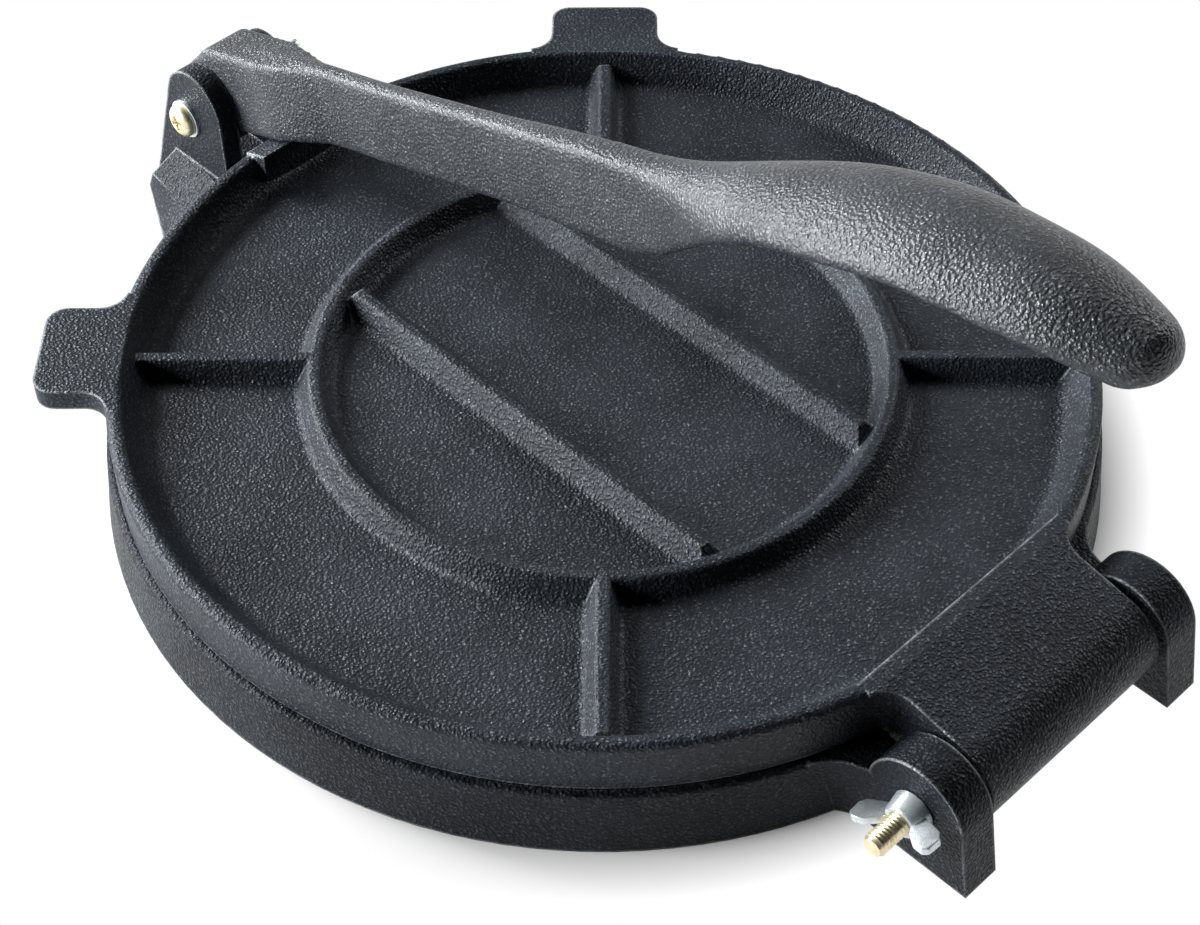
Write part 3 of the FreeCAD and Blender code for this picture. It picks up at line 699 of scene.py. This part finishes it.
@dataclass
class Studio:
    """The pale floor, the lamps and the camera."""

    eye: tuple[float, float, float] = (0.3156, 0.3211, 0.4722)
    yaw: float = -134.351
    pitch: float = -46.885
    roll: float = 0.618
    lens: float = 73.375
    floor_half: float = 6.0
    floor_shade: tuple[float, float, float, float] = (0.90, 0.90, 0.90, 1.0)
    floor_rough: float = 0.9
    dish_radius: float = 0.131
    shadow_start: float = 0.12
    shadow_run: float = 0.013
    lamps: tuple[Lamp, ...] = (
        Lamp("left_low", (1.1, -0.75, 0.35), 0.6, 0.5, 29.6),
        Lamp("back_high", (-0.55, -0.6, 1.05), 0.7, 0.5, 2.2),
        Lamp("back_left", (0.3, -1.25, 0.6), 0.6, 0.5, 36.4),
        Lamp("far_right", (-1.25, 0.1, 0.6), 0.6, 0.5, 7.1),
    )

    @staticmethod
    def watched(sheet: NodeSheet) -> bpy.types.NodeSocket:
        """Tell rays that show a surface from rays that only light the press.

        Args:
            sheet: The tree to add to.

        Returns:
            A socket that is 1 for camera, glossy and transmission rays.
        """
        path = sheet.add("ShaderNodeLightPath")
        shown = sheet.math("MAXIMUM", path.outputs["Is Camera Ray"], path.outputs["Is Glossy Ray"])
        return sheet.math("MAXIMUM", shown, path.outputs["Is Transmission Ray"])

    def floor(self) -> None:
        """Lay a white floor that keeps the press's shadow near it."""
        work = bmesh.new()
        bmesh.ops.create_grid(work, x_segments=1, y_segments=1, size=self.floor_half)
        made = Piece.settle(work, "floor")
        paint = bpy.data.materials.new("white_sweep")
        paint.use_nodes = True
        sheet = NodeSheet(paint.node_tree)
        surface = paint.node_tree.nodes["Principled BSDF"]
        surface.inputs["Base Color"].default_value = self.floor_shade
        surface.inputs["Roughness"].default_value = self.floor_rough
        place = sheet.add("ShaderNodeTexCoord").outputs["Object"]
        far = sheet.add("ShaderNodeVectorMath", operation="LENGTH")
        sheet.feed(far, 0, place)
        beyond = sheet.math("SUBTRACT", far.outputs["Value"], self.dish_radius)
        away = sheet.span(beyond, 0.0, self.shadow_run, self.shadow_start, 1.0)
        seen = self.watched(sheet)
        glow = sheet.add("ShaderNodeEmission")
        mix = sheet.add("ShaderNodeMixShader")
        sheet.feed(mix, 0, sheet.math("MULTIPLY", away, seen))
        sheet.feed(mix, 1, surface.outputs["BSDF"])
        sheet.feed(mix, 2, glow.outputs["Emission"])
        sheet.feed(paint.node_tree.nodes["Material Output"], "Surface", mix.outputs["Shader"])
        made.data.materials.append(paint)

    def light(self) -> None:
        """Hang the lamps in a room that only the camera sees."""
        for lamp in self.lamps:
            lamp.build()
        world = bpy.data.worlds.new("room")
        bpy.context.scene.world = world
        world.use_nodes = True
        sheet = NodeSheet(world.node_tree)
        back = world.node_tree.nodes["Background"]
        sheet.feed(back, "Strength", sheet.add("ShaderNodeLightPath").outputs["Is Camera Ray"])

    def camera(self) -> None:
        """Stand the camera where the photograph was taken from."""
        data = bpy.data.cameras.new("camera")
        data.lens, data.sensor_width = self.lens, 36.0
        made = bpy.data.objects.new("camera", data)
        yaw, pitch = math.radians(self.yaw), math.radians(self.pitch)
        ahead = Vector((math.cos(pitch) * math.cos(yaw), math.cos(pitch) * math.sin(yaw), math.sin(pitch)))
        made.location = self.eye
        made.rotation_mode = "QUATERNION"
        made.rotation_quaternion = Quaternion(ahead, math.radians(self.roll)) @ ahead.to_track_quat("-Z", "Y")
        bpy.context.scene.collection.objects.link(made)
        bpy.context.scene.camera = made

    def build(self) -> None:
        """Set up the whole studio."""
        self.floor()
        self.light()
        self.camera()
        bpy.context.scene.view_settings.view_transform = "Standard"


class Press:
    """The castings and fasteners of the press."""

    def __init__(self, nodes: dict[str, bpy.types.Object]) -> None:
        """Keep the solids and make the finishes.

        Args:
            nodes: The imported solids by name.
        """
        self.nodes = nodes
        self.iron = IronFinish("seasoned_iron").material()
        # The base's iron is a darker copy of the lid's: painted shade.
        self.under_iron = IronFinish(
            "shaded_iron", dark=(0.010, 0.012, 0.016, 1.0), light=(0.019, 0.023, 0.029, 1.0),
            glint=(0.15, 0.18, 0.20, 1.0), shine=0.13).material()
        # The lever's iron is a lighter copy of the lid's, which is painted light, and a glossier one, as hands
        # polish it.
        self.handled_and_lit_iron = IronFinish(
            "handled_and_lit_iron", dark=(0.030, 0.034, 0.040, 1.0), light=(0.056, 0.062, 0.070, 1.0),
            glint=(0.38, 0.42, 0.44, 1.0), smooth=0.22, rough=0.48, shine=0.50).material()
        self.brass = PlatedFinish(
            "tarnished_brass", bright=(0.96, 0.86, 0.60, 1.0), dull=(0.76, 0.64, 0.40, 1.0),
            smooth=0.28, rough=0.46).material()
        self.zinc = PlatedFinish(
            "zinc_plate", bright=(0.86, 0.92, 0.94, 1.0), dull=(0.62, 0.70, 0.74, 1.0),
            smooth=0.24, rough=0.42, metallic=0.62).material()

    def coat(self, names: tuple[str, ...], finish: bpy.types.Material) -> None:
        """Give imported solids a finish.

        Args:
            names: The solids.
            finish: The material.
        """
        for name in names:
            for slot in self.nodes[name].material_slots:
                slot.material = finish
            LOG.info("%s keeps its solid with finish %s", name, finish.name)

    def build(self) -> None:
        """Dress base, lid and washers, and model the lever, bolts and wing nuts."""
        self.coat(("base",), self.under_iron)
        self.coat(("lid",), self.iron)
        PouredCasting("lever", "lever").build(self.nodes["lever"], self.handled_and_lit_iron)
        self.coat(("hinge_washer", "lever_washer"), self.zinc)
        Bolt("hinge_bolt", head_side=-1, head_rise=3.6 * MM).build(self.brass)
        Bolt("lever_bolt", shank=2.5 * MM, head=4.9 * MM, head_rise=3.0 * MM, thread_pitch=0.8 * MM,
             recess_long=4.6 * MM).build(self.brass)
        WingNut("hinge_wing_nut", "hinge_nut", 1, math.radians(20.0)).build(self.zinc)
        WingNut("lever_wing_nut", "lever_nut", -1, math.radians(60.0), bore=2.6 * MM, hub_low=5.0 * MM,
                hub_high=4.1 * MM).build(self.zinc)


def main() -> None:
    """Load the solids, dress them and set up the studio."""
    logging.basicConfig(level=logging.INFO)
    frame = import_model()
    Press(frame["nodes"]).build()
    Studio().build()


if __name__ == "__main__":
    main()
